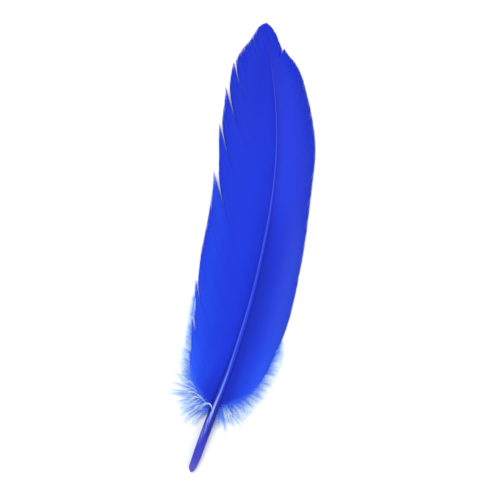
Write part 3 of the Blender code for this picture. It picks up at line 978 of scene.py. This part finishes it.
def down_roots(name, side, outline, seed):
    """The roots of the threads on one side of the shaft. Each bows out and comes to lie near the table."""
    draw = np.random.default_rng(seed)
    rows = [(number, *row) for number, row in enumerate(outline)]
    last = len(rows) - 1.0
    places = np.sort(draw.uniform(0.0, last, DOWN_THREADS))
    middles, lengths, curls = gathered(draw, places, last)
    curves = []
    for place, middle, length in zip(places, middles, lengths):
        root = along(rows, place)[0]
        start = shaft_point(root)
        start[2] -= DOWN_BELOW * along(SHAFT, root)[2]
        own, lock = [along(rows, at)[2:0:-1] - start[:2] for at in (place, middle)]
        own = (1.0 - LOCK_PULL) * own * draw.uniform(*THREAD_LENGTHS)
        end = start[:2] + length * (own + LOCK_PULL * lock) + draw.normal(0.0, END_SCATTER, 2)
        bow = BOW * np.linalg.norm(end - start[:2])
        leave = DOWN_LEAVE + draw.normal(0.0, LEAVE_SCATTER)
        bend = start[:2] + bow * turned(shaft_direction(root), -side * leave)
        low = draw.uniform(*LYING_HEIGHT)
        high = draw.triangular(*END_HEIGHT)
        near = (start[:2] + 2 * bend) / 3
        far = (end + 2 * bend) / 3 + draw.normal(0.0, BEND_SCATTER, 2)
        sinking = low + SLOW_SINKING * (start[2] - low)
        heights = (start[2], sinking, low, high)
        curves.append(np.column_stack([(start[:2], near, far, end), heights]))
    return points_mesh(name, curves, curls, **down_marks(draw, len(curves), 0.0))


def foot_edge(vane, last, share):
    """A place on the edge of a vane's foot, and the way the edge runs there."""
    if share < 0.5:
        barb = barb_curve(vane, VANE_START)
        u = EDGE_BEGINS + (1.0 - EDGE_BEGINS) * 2 * share
        return on_curve(barb, u), on_curve(barb, u + NEARBY) - on_curve(barb, u - NEARBY)
    root = VANE_START + (last - VANE_START) * (2 * share - 1)
    place = barb_curve(vane, root)[3]
    return place, barb_curve(vane, root + TIP_STEP)[3] - place


def fringe_roots(name, vane, last, lengths, angles, seed):
    """Threads of down along the edge of a vane's foot, that bend outwards from it."""
    draw = np.random.default_rng(seed)
    side = vane["side"]
    places = np.sort(draw.uniform(0.0, 1.0, FRINGE_THREADS))
    middles, lock_lengths, curls = gathered(draw, places, 1.0)
    bend_scatter, end_scatter = FRINGE_SCATTER
    curves = []
    for share, middle, lock_length in zip(places, middles, lock_lengths):
        edge, ahead = foot_edge(vane, last, share)
        lock, _ = foot_edge(vane, last, middle)
        length = np.interp(share, (0, 1), lengths) * lock_length
        angle = np.interp(share, (0, 1), angles) + draw.normal(0.0, bend_scatter)
        outwards = turned(ahead, -side * angle)
        above = draw.uniform(*FRINGE_ABOVE) + (TIPS_ABOVE if share > 0.5 else 0.0)
        start = edge[:2] - FRINGE_HOLD * outwards
        near = edge[:2] + FRINGE_BENDS[0] * length * turned(ahead, -side * FIRST_TURN * angle)
        far = edge[:2] + FRINGE_BENDS[1] * length * outwards
        end = LOCK_PULL * lock[:2] + (1.0 - LOCK_PULL) * edge[:2]
        end = end + length * turned(ahead, -side * (angle + draw.normal(0.0, end_scatter)))
        heights = [edge[2] + above, edge[2] + BENDS_ABOVE[0], 0.5 * edge[2] + BENDS_ABOVE[1]]
        heights.append(draw.uniform(*FRINGE_END_HEIGHT))
        curves.append(np.column_stack([(start, near, far, end), heights]))
    marks = down_marks(draw, FRINGE_THREADS, FRINGE_PALE)
    marks["hairy"] *= np.interp(places, (SHORTER_FROM, 1.0), (1.0, SHORTER_HAIRS))
    return points_mesh(name, curves, FRINGE_CURL * curls, **marks)


def down_material():
    """Down that took the dye only near its roots. Its hairs are paler than the threads that carry them."""
    material, tree, shader = new_material("pale_down", Roughness=0.85, Specular_IOR_Level=0.1)
    u = mark(tree, "along")
    pale = mark(tree, "pale")
    uneven = maths(tree, "MULTIPLY_ADD", mark(tree, "shade"), THREAD_TONE, -0.5 * THREAD_TONE)
    age = maths(tree, "ADD", maths(tree, "ADD", u, uneven), pale)
    thread = [(0.05, (0.06, 0.17, 0.85)), (0.52, (0.11, 0.26, 0.86)), (0.92, (0.6, 0.74, 0.95))]
    hairs = [
        (0.05, (0.1, 0.23, 0.92)), (0.45, (0.14, 0.3, 0.93)),
        (0.75, (0.37, 0.57, 0.965)), (0.94, (0.8, 0.91, 0.985)),
    ]
    colour = painted(tree, mark(tree, "hair"), ramp(tree, age, thread), ramp(tree, age, hairs))
    faded = mask(tree, maths(tree, "MULTIPLY_ADD", pale, PALE_ROOTS, u), [(0.05, 0.0), (0.28, 1.0)])
    at_roots = (0.011, 0.09, 0.8)
    colour = painted(tree, faded, at_roots, colour)
    tree.links.new(colour, shader.inputs["Base Color"])
    return material


down = down_tree()
down_settings = dict(
    Steps=DOWN_STEPS,
    Thread_radius=THREAD_RADIUS * MM,
    Hair_spacing=HAIR_SPACING * MM,
    Hair_length=HAIR_LENGTH * MM,
    Hair_radius=HAIR_RADIUS * MM,
    Hair_angle=HAIR_ANGLE,
    Material=down_material(),
)
for down_name, (side, seed, hair_seed, outline) in DOWN_SIDES.items():
    roots = down_roots(down_name + "_roots", side, outline, seed)
    piece(down_name, grown(down_name, roots, down, Seed=hair_seed, **down_settings))
for fringe_name, (*fringe, hair_seed) in FRINGES.items():
    roots = fringe_roots(fringe_name + "_roots", *fringe)
    piece(fringe_name, grown(fringe_name, roots, down, Seed=hair_seed, **down_settings))


# ---- The torn foot of the wide vane ----
# The lowest barbs of the wide vane have torn off. Thick pale strands of them still hook out of the shaft's
# left side, and a few lie over the edge of the vane's foot and out across the down.

# Each strand: its root, the two points that bend it, its end, and how many times as thick as a thread it is.
# They are pale all along, with short hairs set far apart.
STRANDS = [
    ((4.2, 24.6, 4.9), (3.1, 28.6, 5.9), (0.8, 27.4, 4.2), (-3.4, 23.2, 2.6), 5.5),
    ((4.0, 24.9, 4.7), (3.0, 28.0, 5.5), (1.2, 27.2, 3.9), (-2.6, 22.6, 2.4), 5.0),
    ((3.9, 25.2, 3.9), (3.0, 27.6, 4.4), (1.2, 26.9, 3.2), (-1.0, 24.6, 2.2), 4.0),
    ((1.2, 27.0, 4.9), (-1.8, 29.9, 4.8), (-4.2, 31.2, 4.0), (-9.8, 29.4, 2.2), 4.5),
    ((-2.6, 30.4, 4.1), (-4.6, 32.2, 3.6), (-7.4, 32.6, 2.8), (-12.4, 31.8, 1.8), 3.6),
    ((-3.6, 31.8, 3.8), (-5.6, 34.6, 3.4), (-8.8, 35.4, 2.6), (-13.6, 34.6, 1.7), 3.2),
    ((-0.6, 28.2, 4.4), (-3.4, 29.0, 4.0), (-6.6, 28.8, 3.0), (-11.8, 26.6, 1.7), 3.2),
]
STRAND_MARKS = {"shade": 1.0, "pale": 0.55, "hairy": 0.25, "hair": 0.6}
STRAND_HAIR_SPACING = 0.25

strand_roots = points_mesh(
    "strand_roots",
    [np.array(strand[:4]) for strand in STRANDS],
    np.zeros((len(STRANDS), 3)),
    thick=[strand[4] for strand in STRANDS],
    **{key: np.full(len(STRANDS), value) for key, value in STRAND_MARKS.items()},
)
strand_settings = dict(down_settings, Hair_spacing=STRAND_HAIR_SPACING * MM, Seed=3)
piece("torn_barb_strands", grown("torn_barb_strands", strand_roots, down, **strand_settings))


# ---- The table and the light ----
# A plain white table top, a large soft light nearly overhead, a little to the left, a weaker one on the
# right, and a pale room.
table = bmesh.new()
bmesh.ops.create_grid(table, x_segments=1, y_segments=1, size=2.0)
table_mesh = bpy.data.meshes.new("table_top")
table.to_mesh(table_mesh)
table.free()
table_top = in_scene("table_top", table_mesh)
white, _, _ = new_material("white_table", Roughness=0.9, Base_Color=(0.8, 0.8, 0.81, 1.0))
table_mesh.materials.append(white)


def soft_box(name, place, target, size, power):
    """A square area light that points at a place."""
    data = bpy.data.lights.new(name, "AREA")
    data.size = size
    data.energy = power
    made = in_scene(name, data)
    made.location = place
    made.rotation_euler = (Vector(target) - Vector(place)).to_track_quat("-Z", "Y").to_euler()


soft_box("key_above_left", (-0.35, 0.25, 1.0), (0, 0, 0), 0.7, 7.5)
soft_box("fill_right", (0.8, -0.2, 0.9), (0, 0, 0), 0.9, 3.0)

room = bpy.data.worlds.new("pale_room")
room.use_nodes = True
glow = room.node_tree.nodes["Background"].inputs
glow["Color"].default_value = (0.91, 0.95, 1.0, 1.0)
glow["Strength"].default_value = 0.88
bpy.context.scene.world = room
bpy.context.scene.view_settings.view_transform = "Standard"
